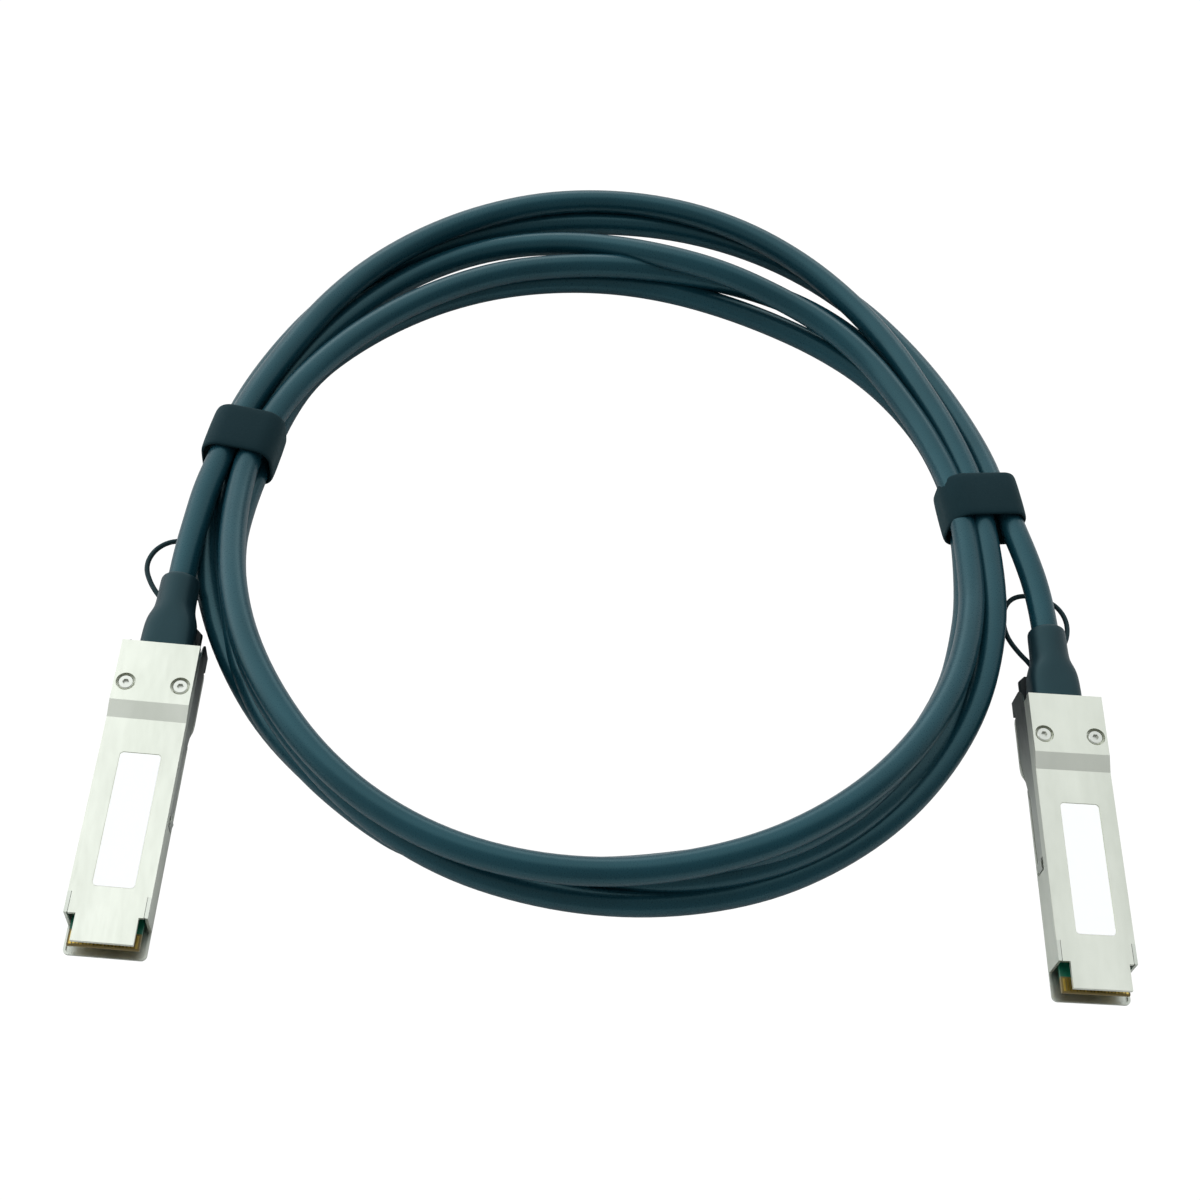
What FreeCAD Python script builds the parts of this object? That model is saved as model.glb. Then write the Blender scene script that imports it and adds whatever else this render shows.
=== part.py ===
import FreeCAD, Part
import math
import os
from FreeCAD import Vector

# Direct attach copper cable: two pluggable end modules joined by one round twinax cable.
# Millimetres. Each module is drawn in its own frame (x across, y from its front lip to its rear,
# z up from the underside of its front half) and then laid on the ground by place().

# ---- module envelope
moduleWidth = 18.35
shellLength = 76.0
bodyTop = 8.6               # top of the front half of the cover
padRise = 1.1               # the rear of the cover is a step higher
rampInset = 20.4            # the ramp up to the raised rear starts this far before the rear
rampRun = 4.2
partingHeight = 8.0         # the cover lies on the lower shell here

# ---- lower shell
sideWall = 1.35
frontWall = 0.82            # the side walls are thinner beside the card's edge
floorThickness = 1.0
rearWall = 2.4
wallFront = 6.8             # the side walls start behind the open tray
wallStep = 11.8             # the cover is full width behind this
trayRim = 1.1
trayRimWidth = 0.55
trayCorner = 1.3
bulgeDrop = 3.8             # the rear half hangs lower, outside the cage
bulgeInset = 22.6
bulgeRun = 8.8
rearCorner = 2.2
bottomBevel = 0.5

# ---- upper cover
tongueLeft = 6.5
tongueRight = 7.2
tongueFront = 0.45
tongueThickness = 0.9
labelLeft = 4.4
labelRight = 5.2
labelFront = 13.4
labelRear = 46.9
labelDepth = 0.15
labelCorner = 1.0
rimDrop = 1.2               # locating rim inside the lower shell's walls
rimThickness = 0.8
rimClearance = 0.1

# ---- screws
screwSpacing = 12.7
screwInset = 11.3           # from the module's rear
screwHeadDiameter = 3.7
screwHeadHeight = 1.1
screwShankDiameter = 1.9
screwLength = 6.0
counterboreDiameter = 4.6
counterboreDepth = 1.25
socketAcrossFlats = 1.4
socketDepth = 0.7
bossDiameter = 4.6

# ---- paddle card and what it carries
cardTop = 4.8
cardThickness = 1.0
cardFront = 0.8
cardNoseWidth = 15.8
cardNoseLength = 10.2
cardBodyWidth = 13.6
cardRear = 41.0
cardLedgeWidth = 1.6
padPitch = 0.8
padsPerSide = 19
padWidth = 0.54
padLength = 3.0
padThickness = 0.06
chipSize = 3.2
chipHeight = 0.9
chipPlace = 19.0
capacitorCount = 8
capacitorLength = 1.1
capacitorWidth = 0.6
capacitorHeight = 0.55
capacitorPlace = 27.0
pairWidth = 2.3
pairHeight = 1.35
pairSpacing = 3.1
pairStart = 38.6
pairGather = 5.0            # the pairs are side by side again this far before the ferrule

# ---- cable, crimp and boot
cableDiameter = 6.7
cableHeight = 2.1           # height of the cable's axis at the module's rear wall
ferruleDiameter = 8.2
ferruleFlange = 9.8
ferruleFlangeThickness = 1.0
ferruleLength = 9.5
flangeClearance = 0.1
bootLength = 22.2
bootBaseWidth = 12.6
bootBaseHeight = 9.6
bootBaseLength = 8.0
bootSleeveDiameter = 9.6
bootTaperEnd = 16.6
bootNose = 0.6
bootCornerSides = 3
bootOverlap = 1.0           # the sleeve is moulded this far into the flare
bootCorner = 2.4            # corner radius of the flare where it leaves the module
bootStep = 0.15             # the flare ends a little proud of the sleeve
bootGap = 0.02

# ---- latch slider, its springs and its pull loop
sliderThickness = 0.35
sliderTop = 5.6
sliderBottom = 1.7
sliderDeepBottom = -2.4
sliderDeepLead = 2.9        # the arms start down before the shell does
sliderDeepLag = 0.8
sliderTip = 34.0
sliderHook = 0.6
sliderHookLength = 3.2
sliderTail = 4.6            # the cheeks and bridge stand this far behind the shell
sliderGap = 0.4
sliderSide = 0.05           # clearance between an arm and the floor of its channel
channelDepth = 0.5
channelMargin = 0.25
sliderTravel = 2.0
bridgeTop = -3.55
bridgeLength = 3.0            # the tongue moulded into the loop's anchor
springDiameter = 1.6
springWire = 0.26
springFront = 44.6
springLength = 8.0
springTurns = 5
springPoints = 8            # points in each turn
springSlack = 0.05
springHeight = 3.6
springPocketMargin = 0.12
springWall = 0.02
springTabHeight = 1.5
anchorWidth = 13.6
anchorGap = 0.6             # between the bridge and the anchor moulded on its tongue
anchorLength = 7.2
anchorThickness = 1.4
anchorCorner = 1.6
anchorEdge = 0.35
loopWire = 1.3
loopLegSpacing = 3.2
loopRadius = 7.3
loopLength = 19.4           # from the middle of the anchor to the centre of the round end
loopSink = 2.2              # the loop's far end hangs this much lower than its anchor
loopSides = 8

# ---- where the two modules lie
leftPlace = -111.26
rightPlace = 110.54
lipPlace = -55.92
leftYaw = -2.3
rightYaw = -0.3

# ---- the coil of spare cable: polar outline about its centre, measured from +x
coilCentre = Vector(-0.36, 71.88, 0)
coilOuter = [(8, 110.6), (30, 112), (50, 116.2), (70, 124.5), (88, 128), (108, 123.5), (130, 114.2), (150, 110.4),
             (172, 109.2), (190, 108.3), (204, 108.2), (218, 108.6), (234, 111.2), (250, 114.6), (270, 114.4),
             (290, 113.6), (312, 111.6), (332, 107.4), (348, 104)]
coilInner = [(8, 90), (30, 92), (50, 90.2), (70, 87.8), (90, 87.2), (110, 88), (130, 89.7), (150, 90),
             (172, 89.4), (190, 92), (210, 97), (230, 100.4), (250, 102.6), (270, 101.2), (290, 99.4),
             (312, 96.5), (332, 93), (348, 91)]
strandRows = 2
coilNearHeight = 20.8       # the strands pile up on the modules' side and fan out flat on the far side
coilFarHeight = 8.4
coilSides = 64
nearPile = 45.0             # the pile, the tied bundle and the fan begin and end here, from the centre
tiedFront = 2.0
tiedRear = 36.0
farFan = 75.0
coilClearance = 0.6
tieThickness = 1.2
tieLength = 12.0
tieCorner = 2.5
leftTieAngle = 168.0
rightTieAngle = 7.5
tailStraight = 6.6          # each tail leaves its boot straight and bends this far behind it
leftTailEnd = (-103.56, 85.88, 10.2)
rightTailEnd = (104.04, 86.38, 10.2)
loopPassage = 3.2           # the coil's lowest turn rises over the left loop
loopMargin = 2.6

bulgeFront = shellLength - bulgeInset
bulgeBack = bulgeFront + bulgeRun
rampFront = shellLength - rampInset
rampRear = rampFront + rampRun
# two equal arcs make the step from the flat front to the deep rear
bulgeRadius = ((bulgeBack - bulgeFront) ** 2 + bulgeDrop ** 2) / (4 * bulgeDrop)
# the module rests on its front lip and on the lower arc, so its underside touches that arc
arcHeight = bulgeRadius - bulgeDrop
moduleTilt = math.degrees(math.asin(bulgeRadius / math.hypot(bulgeBack, arcHeight)) - math.atan(arcHeight / bulgeBack))
halfWidth = moduleWidth / 2
padTop = bodyTop + padRise
screwPlace = shellLength - screwInset
ferruleFront = shellLength - ferruleLength
sliderRear = shellLength + sliderTail
anchorFront = sliderRear + anchorGap
anchorMiddle = anchorFront + anchorLength / 2
loopCentre = anchorMiddle + loopLength
bootBase = shellLength + bootGap
tailBend = bootBase + bootLength + tailStraight
coilReach = 1.2 * max(radius for angle, radius in coilOuter)


def box(x0, x1, y0, y1, z0, z1):
    return Part.makeBox(x1 - x0, y1 - y0, z1 - z0, Vector(x0, y0, z0))


def extrude(points, direction):
    wire = Part.makePolygon([Vector(*p) for p in points + points[:1]])
    return Part.Face(wire).extrude(Vector(*direction))


def roundedPlan(x0, x1, y0, y1, radius, z0, z1):
    # a plate with rounded corners seen from above
    plate = box(x0, x1, y0, y1, z0, z1)
    return plate.makeFillet(radius, [e for e in plate.Edges if isUpright(e)])


def isUpright(edge):
    a, b = (v.Point for v in (edge.Vertexes[0], edge.Vertexes[-1]))
    return abs(a.x - b.x) < 1e-6 and abs(a.y - b.y) < 1e-6 and abs(a.z - b.z) > 1e-6


def cylinderAlongY(radius, y0, y1, x=0.0, z=0.0):
    return Part.makeCylinder(radius, y1 - y0, Vector(x, y0, z), Vector(0, 1, 0))


# the side view of the lower shell: flat front, S-curve down to the deep rear, round rear corner
def sideProfile():
    radius = bulgeRadius
    half = math.asin((bulgeBack - bulgeFront) / 2 / radius) / 2
    lowCentre = Vector(0, bulgeFront, -radius)
    highCentre = Vector(0, bulgeBack, -bulgeDrop + radius)

    def onLow(angle):
        return lowCentre + Vector(0, radius * math.sin(angle), radius * math.cos(angle))

    def onHigh(angle):
        return highCentre - Vector(0, radius * math.sin(angle), radius * math.cos(angle))

    rear = shellLength
    corner = rearCorner * math.sin(math.radians(45))
    cornerMid = Vector(0, rear - rearCorner + corner, -bulgeDrop + rearCorner - corner)
    mid = Vector(0, (bulgeFront + bulgeBack) / 2, -bulgeDrop / 2)
    edges = [
        Part.LineSegment(Vector(0, 0, 0), Vector(0, bulgeFront, 0)),
        Part.Arc(Vector(0, bulgeFront, 0), onLow(half), mid),
        Part.Arc(mid, onHigh(half), Vector(0, bulgeBack, -bulgeDrop)),
        Part.LineSegment(Vector(0, bulgeBack, -bulgeDrop), Vector(0, rear - rearCorner, -bulgeDrop)),
        Part.Arc(Vector(0, rear - rearCorner, -bulgeDrop), cornerMid, Vector(0, rear, -bulgeDrop + rearCorner)),
        Part.LineSegment(Vector(0, rear, -bulgeDrop + rearCorner), Vector(0, rear, partingHeight)),
        Part.LineSegment(Vector(0, rear, partingHeight), Vector(0, wallFront, partingHeight)),
        Part.LineSegment(Vector(0, wallFront, partingHeight), Vector(0, wallFront, trayRim)),
        Part.LineSegment(Vector(0, wallFront, trayRim), Vector(0, 0, trayRim)),
        Part.LineSegment(Vector(0, 0, trayRim), Vector(0, 0, 0)),
    ]
    return Part.Wire([e.toShape() for e in edges])


# outline of a slider arm seen from the side, grown by a margin for its channel in the shell
def armOutline(margin, front, rear):
    top = sliderTop + margin
    low = sliderBottom - margin
    deep = sliderDeepBottom - margin
    return [(front, low), (bulgeFront - sliderDeepLead, low), (bulgeBack + sliderDeepLag, deep), (rear, deep),
            (rear, top), (front, top)]


def armPlate(side, inner, outer, margin, front, rear):
    x = side * inner
    points = [(x, y, z) for y, z in armOutline(margin, front, rear)]
    return extrude(points, (side * (outer - inner), 0, 0))


channelFloor = halfWidth - channelDepth
armInner = channelFloor + sliderSide
armOuter = armInner + sliderThickness
springAxis = channelFloor - springDiameter / 2 - springWall


def lowerShell():
    body = Part.Face(sideProfile()).extrude(Vector(moduleWidth, 0, 0))
    body.translate(Vector(-halfWidth, 0, 0))
    frontCorners = [e for e in body.Edges if isUpright(e) and e.Vertexes[0].Y < 1 and e.Length < 2]
    body = body.makeFillet(trayCorner, frontCorners)
    body = body.makeChamfer(bottomBevel, [e for e in body.Edges if isBottomSideEdge(e)])
    # thin wall tops beside the narrow front of the cover
    for side in (-1, 1):
        inner = halfWidth - frontWall
        body = body.fuse(box(min(side * inner, side * halfWidth), max(side * inner, side * halfWidth),
                             wallFront, wallStep, partingHeight - 0.5, bodyTop))
    inside = halfWidth - sideWall
    nearFront = halfWidth - frontWall
    tray = halfWidth - trayRimWidth
    cavity = roundedPlan(-tray, tray, trayRimWidth, wallFront + 0.4, trayCorner - trayRimWidth,
                         floorThickness - 0.4, partingHeight + 1)
    cavity = cavity.fuse(box(-nearFront, nearFront, 3.0, wallStep, floorThickness - 0.4, bodyTop + 1))
    cavity = cavity.fuse(box(-inside, inside, wallStep - 1, shellLength - rearWall, floorThickness, bodyTop))
    midFloor = floorThickness - bulgeDrop / 2
    cavity = cavity.fuse(box(-inside, inside, (bulgeFront + bulgeBack) / 2, bulgeBack + 1, midFloor, partingHeight))
    deepFloor = floorThickness - bulgeDrop
    cavity = cavity.fuse(box(-inside, inside, bulgeBack, shellLength - rearWall, deepFloor, partingHeight))
    body = body.cut(cavity)
    # ledges that carry the card, bosses for the cover screws and blocks that hold the springs
    ledgeTop = cardTop - cardThickness
    for side in (-1, 1):
        ledge = box(inside - cardLedgeWidth, inside + 0.1, wallStep + 1, cardRear - 2, floorThickness - 0.2, ledgeTop)
        boss = Part.makeCylinder(bossDiameter / 2, partingHeight - deepFloor + 0.3,
                                 Vector(screwSpacing / 2, screwPlace, deepFloor - 0.3))
        block = box(inside - 0.9, inside + 0.1, springFront - 1.8, springFront + springLength + 1.2,
                    floorThickness - 0.2, springHeight + 2.0)
        for extra in (ledge, boss, block):
            body = body.fuse(extra if side > 0 else extra.mirror(Vector(0, 0, 0), Vector(1, 0, 0)))
    body = body.common(box(-halfWidth, halfWidth, 0, shellLength, -bulgeDrop, bodyTop))
    for side in (-1, 1):
        body = body.cut(armPlate(side, channelFloor, halfWidth + 1, channelMargin,
                                 sliderTip - sliderHookLength - channelMargin, shellLength + 1))
        body = body.cut(springPocket(side))
        shank = Part.makeCylinder(screwShankDiameter / 2, screwLength + 0.6,
                                  Vector(side * screwSpacing / 2, screwPlace, padTop - counterboreDepth - screwLength - 0.5))
        body = body.cut(shank)
    # U-shaped gate in the rear wall for the crimp ferrule, with a groove for its flange
    body = body.cut(ferruleGate(ferruleDiameter / 2, shellLength - rearWall - 0.5, shellLength + 1))
    body = body.cut(ferruleGate(ferruleFlange / 2 + flangeClearance, flangeFront() - flangeClearance,
                                flangeFront() + ferruleFlangeThickness + flangeClearance))
    return body.removeSplitter()


def isBottomSideEdge(edge):
    box = edge.BoundBox
    onSide = abs(abs(box.XMin) - halfWidth) < 1e-6 and box.XLength < 1e-6
    return onSide and box.ZMax < partingHeight - 0.1 and box.YMax > 1 and box.ZMax < 0.5


def springPocket(side):
    radius = springDiameter / 2 + springPocketMargin
    rearEnd = springFront + springLength
    pocket = cylinderAlongY(radius, springFront - sliderThickness - 0.35, rearEnd, springAxis, springHeight)
    mouth = box(channelFloor - 0.6, halfWidth, springFront - sliderThickness - 0.35, rearEnd,
                springHeight - radius, springHeight + radius)
    tabWay = box(springTabInner() - 0.1, halfWidth, springFront - sliderThickness - 0.35,
                 springFront + sliderTravel + 0.4, springHeight - radius, springHeight + radius)
    shape = pocket.fuse(mouth).fuse(tabWay)
    return shape if side > 0 else shape.mirror(Vector(0, 0, 0), Vector(1, 0, 0))


def springTabInner():
    return channelFloor - springDiameter


def flangeFront():
    return shellLength - rearWall + (rearWall - ferruleFlangeThickness) / 2


def ferruleGate(radius, y0, y1):
    gate = cylinderAlongY(radius, y0, y1, 0, cableHeight)
    return gate.fuse(box(-radius, radius, y0, y1, cableHeight, bodyTop + 3))


def upperCover():
    # the full-width plate, its ramp and the raised rear pad
    profile = [(-halfWidth, wallStep, partingHeight), (-halfWidth, shellLength, partingHeight),
               (-halfWidth, shellLength, padTop), (-halfWidth, rampRear, padTop),
               (-halfWidth, rampFront, bodyTop), (-halfWidth, wallStep, bodyTop)]
    cover = extrude(profile, (moduleWidth, 0, 0))
    nearFront = halfWidth - frontWall - rimClearance
    cover = cover.fuse(box(-nearFront, nearFront, wallFront, wallStep, bodyTop - tongueThickness, bodyTop))
    cover = cover.fuse(box(-tongueLeft, tongueRight, tongueFront, wallFront + 0.1,
                           bodyTop - tongueThickness, bodyTop))
    rim = halfWidth - sideWall - rimClearance
    rimBottom = partingHeight - rimDrop
    frame = box(-rim, rim, wallStep + rimClearance, shellLength - rearWall - rimClearance, rimBottom, partingHeight)
    hollow = box(-rim + rimThickness, rim - rimThickness, wallStep + rimThickness + rimClearance,
                 shellLength - rearWall - rimClearance - rimThickness, rimBottom - 1, partingHeight)
    cover = cover.fuse(frame.cut(hollow))
    # two posts press the card onto its ledges
    for side in (-1, 1):
        x = side * (cardBodyWidth / 2 - 1.2)
        cover = cover.fuse(Part.makeCylinder(0.9, bodyTop - 0.3 - cardTop, Vector(x, cardRear - 4.5, cardTop)))
    # the rear saddle closes the gate over the ferrule
    saddleHalf = ferruleDiameter / 2 - rimClearance
    gateFront = shellLength - rearWall
    saddle = box(-saddleHalf, saddleHalf, gateFront, shellLength, cableHeight, padTop)
    saddle = saddle.cut(cylinderAlongY(ferruleDiameter / 2, gateFront - 1, shellLength + 1, 0, cableHeight))
    collar = ferruleFlange / 2 + flangeClearance
    flangeWay = cylinderAlongY(collar, flangeFront() - flangeClearance,
                               flangeFront() + ferruleFlangeThickness + flangeClearance, 0, cableHeight)
    cover = cover.fuse(saddle).cut(flangeWay)
    # clearance round the screw bosses, counterbores and screw holes
    for side in (-1, 1):
        x = side * screwSpacing / 2
        cover = cover.cut(Part.makeCylinder(bossDiameter / 2 + rimClearance, rimDrop + 0.1,
                                            Vector(x, screwPlace, rimBottom - 0.1)))
        cover = cover.cut(Part.makeCylinder(counterboreDiameter / 2, counterboreDepth + 1,
                                            Vector(x, screwPlace, padTop - counterboreDepth)))
        cover = cover.cut(Part.makeCylinder(screwShankDiameter / 2 + 0.05, padRise + 2,
                                            Vector(x, screwPlace, partingHeight - 0.2)))
    label = roundedPlan(-labelLeft, labelRight, labelFront, labelRear, labelCorner, bodyTop - labelDepth, bodyTop + 1)
    return cover.cut(label).removeSplitter()


def coverScrews():
    screws = []
    for side in (-1, 1):
        x = side * screwSpacing / 2
        seat = padTop - counterboreDepth
        head = Part.makeCylinder(screwHeadDiameter / 2, screwHeadHeight, Vector(x, screwPlace, seat))
        rim = [e for e in head.Edges if abs(e.BoundBox.ZMin - seat - screwHeadHeight) < 1e-6]
        head = head.makeChamfer(0.25, rim)
        shank = Part.makeCylinder(screwShankDiameter / 2, screwLength, Vector(x, screwPlace, seat - screwLength))
        screw = head.fuse(shank).cut(hexagon(socketAcrossFlats, x, screwPlace, seat + screwHeadHeight - socketDepth,
                                             socketDepth + 1))
        screws.append(screw.removeSplitter())
    return Part.makeCompound(screws)


def hexagon(acrossFlats, x, y, z, height):
    radius = acrossFlats / math.sqrt(3)
    points = [(x + radius * math.cos(math.radians(60 * i)), y + radius * math.sin(math.radians(60 * i)), z)
              for i in range(6)]
    return extrude(points, (0, 0, height))


def paddleCard():
    bottom = cardTop - cardThickness
    nose = box(-cardNoseWidth / 2, cardNoseWidth / 2, cardFront, cardNoseLength, bottom, cardTop)
    leading = [e for e in nose.Edges if e.BoundBox.YMax < cardFront + 0.01 and e.BoundBox.XLength > 1]
    nose = nose.makeChamfer(0.25, leading)
    body = box(-cardBodyWidth / 2, cardBodyWidth / 2, cardNoseLength - 1, cardRear, bottom, cardTop)
    return nose.fuse(body).removeSplitter()


def contactPads():
    pads = []
    first = -(padsPerSide - 1) / 2 * padPitch
    for i in range(padsPerSide):
        x = first + i * padPitch
        start = cardFront + (0.45 if i % 3 else 0.3)
        for z in (cardTop, cardTop - cardThickness - padThickness):
            pads.append(box(x - padWidth / 2, x + padWidth / 2, start, start + padLength, z, z + padThickness))
    return Part.makeCompound(pads)


def memoryChip():
    half = chipSize / 2
    return box(-half, half, chipPlace, chipPlace + chipSize, cardTop, cardTop + chipHeight)


def capacitors():
    step = cardBodyWidth * 0.86 / capacitorCount
    parts = []
    for i in range(capacitorCount):
        x = (i - (capacitorCount - 1) / 2) * step
        parts.append(box(x - capacitorWidth / 2, x + capacitorWidth / 2, capacitorPlace,
                         capacitorPlace + capacitorLength, cardTop, cardTop + capacitorHeight))
    return Part.makeCompound(parts)


# four shielded pairs lie on each face of the card and gather into the ferrule
def wirePairs():
    pairs = []
    gatherPitch = (ferruleDiameter - 1.6) / 4
    for face in (1, -1):
        padZ = cardTop + pairHeight / 2 if face > 0 else cardTop - cardThickness - pairHeight / 2
        for i in range(4):
            x0 = (i - 1.5) * pairSpacing
            x1 = (i - 1.5) * gatherPitch
            z1 = cableHeight + face * (pairHeight / 2 + 0.15)
            sections = []
            for y, x, z, width in ((pairStart, x0, padZ, pairWidth), (cardRear + 4, x0, padZ, pairWidth),
                                   (ferruleFront - pairGather, x1, z1, gatherPitch - 0.12),
                                   (ferruleFront - 0.4, x1, z1, gatherPitch - 0.12)):
                sections.append(ovalWire(x, y, z, width, pairHeight))
            pairs.append(Part.makeLoft(sections, True, True))
    return Part.makeCompound(pairs)


def ovalWire(x, y, z, width, height):
    w, h = width / 2, height / 2
    points = [Vector(x + w * math.cos(math.radians(a)), y, z + h * math.sin(math.radians(a)))
              for a in range(0, 360, 60)]
    return Part.makePolygon(points + points[:1])


def crimpFerrule():
    flange = flangeFront()
    tube = cylinderAlongY(ferruleDiameter / 2, ferruleFront, shellLength, 0, cableHeight)
    collar = cylinderAlongY(ferruleFlange / 2, flange, flange + ferruleFlangeThickness, 0, cableHeight)
    bore = cylinderAlongY(cableDiameter / 2, ferruleFront - 1, shellLength + 1, 0, cableHeight)
    return tube.fuse(collar).cut(bore).removeSplitter()


# the boot's sections run from a rounded rectangle at the module to a round sleeve on the cable
def bootSection(y, width, height, corner):
    x, z = width / 2 - corner, height / 2 - corner
    points = []
    for i, (cx, cz) in enumerate(((x, z), (-x, z), (-x, -z), (x, -z))):
        for step in range(bootCornerSides + 1):
            a = math.pi / 2 * (i + step / bootCornerSides)
            points.append(Vector(cx + corner * math.cos(a), y, cableHeight + cz + corner * math.sin(a)))
    return Part.makePolygon(points + points[:1])


def strainBoot():
    end = bootBase + bootLength
    sleeveEnd = bootSleeveDiameter + 2 * bootStep
    sections = []
    # share of the way to the sleeve, and share of the change from the rectangle to the circle
    for along, change in ((0, 0), (0.29, 0.14), (0.63, 0.5), (0.86, 0.86), (1, 1)):
        width = bootBaseWidth + (sleeveEnd - bootBaseWidth) * change
        height = bootBaseHeight + (sleeveEnd - bootBaseHeight) * change
        corner = bootCorner + (sleeveEnd * 0.48 - bootCorner) * change
        sections.append(bootSection(bootBase + bootTaperEnd * along, width, height, corner))
    flare = Part.makeLoft(sections, True, True)
    sleeve = cylinderAlongY(bootSleeveDiameter / 2, bootBase + bootTaperEnd - bootOverlap, end, 0, cableHeight)
    sleeve = sleeve.makeChamfer(bootNose, [e for e in sleeve.Edges if e.BoundBox.YMin > end - 0.01])
    bore = cylinderAlongY(cableDiameter / 2, bootBase - 1, end + 1, 0, cableHeight)
    return flare.fuse(sleeve).cut(bore)


def latchSlider():
    slider = None
    for side in (-1, 1):
        arm = armPlate(side, armInner, armOuter, 0, sliderTip, sliderRear)
        # the tip is bent outward to spread the cage's latch, and a tab bent inward meets the spring
        hook = extrude([(side * armInner, sliderTip, sliderBottom + 0.5), (side * armOuter, sliderTip, sliderBottom + 0.5),
                        (side * (armOuter + sliderHook), sliderTip - sliderHookLength * 0.45, sliderBottom + 0.5),
                        (side * (armOuter + sliderHook * 0.3), sliderTip - sliderHookLength, sliderBottom + 0.5),
                        (side * (armInner + sliderHook * 0.3), sliderTip - sliderHookLength, sliderBottom + 0.5),
                        (side * (armInner + sliderHook), sliderTip - sliderHookLength * 0.45, sliderBottom + 0.5)],
                       (0, 0, sliderTop - sliderBottom - 1.0))
        tabX = sorted((side * springTabInner(), side * armOuter))
        tab = box(tabX[0], tabX[1], springFront - sliderThickness, springFront,
                  springHeight - springTabHeight / 2, springHeight + springTabHeight / 2)
        cheekX = sorted((side * armInner, side * armOuter))
        cheek = box(cheekX[0], cheekX[1], shellLength + sliderGap, sliderRear, bridgeTop - sliderThickness, sliderTop)
        cheek = cheek.makeFillet(2.0, [e for e in cheek.Edges
                                       if e.BoundBox.YMin > sliderRear - 0.01 and e.BoundBox.ZMin > sliderTop - 0.01])
        for piece in (arm, hook, tab, cheek):
            slider = piece if slider is None else slider.fuse(piece)
    bridge = box(-armOuter, armOuter, shellLength + sliderGap, sliderRear, bridgeTop - sliderThickness, bridgeTop)
    return slider.fuse(bridge).fuse(sliderTongue()).removeSplitter()


def sliderTongue():
    return box(-anchorWidth / 2 + 1, anchorWidth / 2 - 1, shellLength + 2 * sliderGap, sliderRear + bridgeLength,
               bridgeTop - sliderThickness, bridgeTop)


def returnSprings():
    springs = []
    radius = (springDiameter - springWire) / 2
    half = springWire / 2
    rise = (springLength - springWire - 2 * springSlack) / springTurns / springPoints
    for side in (-1, 1):
        sections = []
        for i in range(springTurns * springPoints + 1):
            a = 2 * math.pi * i / springPoints
            y = springFront + springSlack + half + rise * i
            corners = [(radius + dr, y + dy) for dr, dy in ((-half, -half), (half, -half), (half, half), (-half, half))]
            points = [Vector(side * springAxis + r * math.cos(a), v, springHeight + r * math.sin(a)) for r, v in corners]
            sections.append(Part.makePolygon(points + points[:1]))
        springs.append(Part.makeLoft(sections, True, True))
    return Part.makeCompound(springs)


def loopAnchor():
    middle = bridgeTop - sliderThickness / 2
    half = anchorWidth / 2
    block = box(-half, half, anchorFront, anchorFront + anchorLength, middle - anchorThickness / 2,
                middle + anchorThickness / 2)
    block = block.makeChamfer(anchorCorner, [e for e in block.Edges if isUpright(e)])
    block = block.makeChamfer(anchorEdge, [e for e in block.Edges if not isUpright(e)])
    return block.cut(sliderTongue()).cut(pullLoop())


def pullLoop():
    half = loopLegSpacing / 2
    # straight legs run tangent onto the round end
    distance = math.hypot(half, loopLength)
    angle = math.atan2(half, loopLength) + math.acos(loopRadius / distance) - math.pi / 2
    centre = Vector(0, loopLength, 0)
    outward = Vector(math.cos(angle), math.sin(angle), 0)
    touch = centre + outward * loopRadius
    section = []
    for i in range(loopSides):
        a = 2 * math.pi * (i + 0.5) / loopSides
        section.append(touch + (outward * math.cos(a) + Vector(0, 0, 1) * math.sin(a)) * loopWire / 2)
    face = Part.Face(Part.makePolygon(section + section[:1]))
    leg = face.extrude(Vector(half, 0, 0) - touch)
    end = face.revolve(centre, Vector(0, 0, 1), 180 - 2 * math.degrees(angle))
    loop = end.fuse(leg).fuse(leg.mirror(Vector(0, 0, 0), Vector(1, 0, 0))).removeSplitter()
    loop.rotate(Vector(0, 0, 0), Vector(1, 0, 0), -math.degrees(math.atan(loopSink / (loopLength + loopRadius))))
    loop.translate(Vector(0, anchorMiddle, bridgeTop - sliderThickness / 2))
    return loop


# a point of a module's own frame where the module lies
def placed(point, x, yaw):
    tilt, turn = math.radians(moduleTilt), math.radians(yaw)
    y = point[1] * math.cos(tilt) - point[2] * math.sin(tilt)
    z = point[1] * math.sin(tilt) + point[2] * math.cos(tilt)
    return Vector(x + point[0] * math.cos(turn) - y * math.sin(turn),
                  lipPlace + point[0] * math.sin(turn) + y * math.cos(turn), z)


# straight runs joined by arcs as large as the runs allow
def cordRoute(points):
    edges = []
    start = points[0]
    for before, corner, after in zip(points, points[1:], points[2:]):
        runIn, runOut = corner - before, after - corner
        turn = runIn.getAngle(runOut)
        shorter = min(runIn.Length, runOut.Length)
        radius = 0.45 * shorter / math.tan(turn / 2)
        trim = 0.45 * shorter
        print("  turn %.1f degrees, radius %.1f mm" % (math.degrees(turn), radius))
        first = corner - runIn.normalize() * trim
        last = corner + runOut.normalize() * trim
        inward = (first + last) * 0.5 - corner
        centreDistance = radius / math.cos(turn / 2)
        middle = corner + inward.normalize() * (centreDistance - radius)
        edges.append(Part.LineSegment(start, first).toShape())
        edges.append(Part.Arc(first, middle, last).toShape())
        start = last
    edges.append(Part.LineSegment(start, points[-1]).toShape())
    return Part.Wire(edges)


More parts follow.
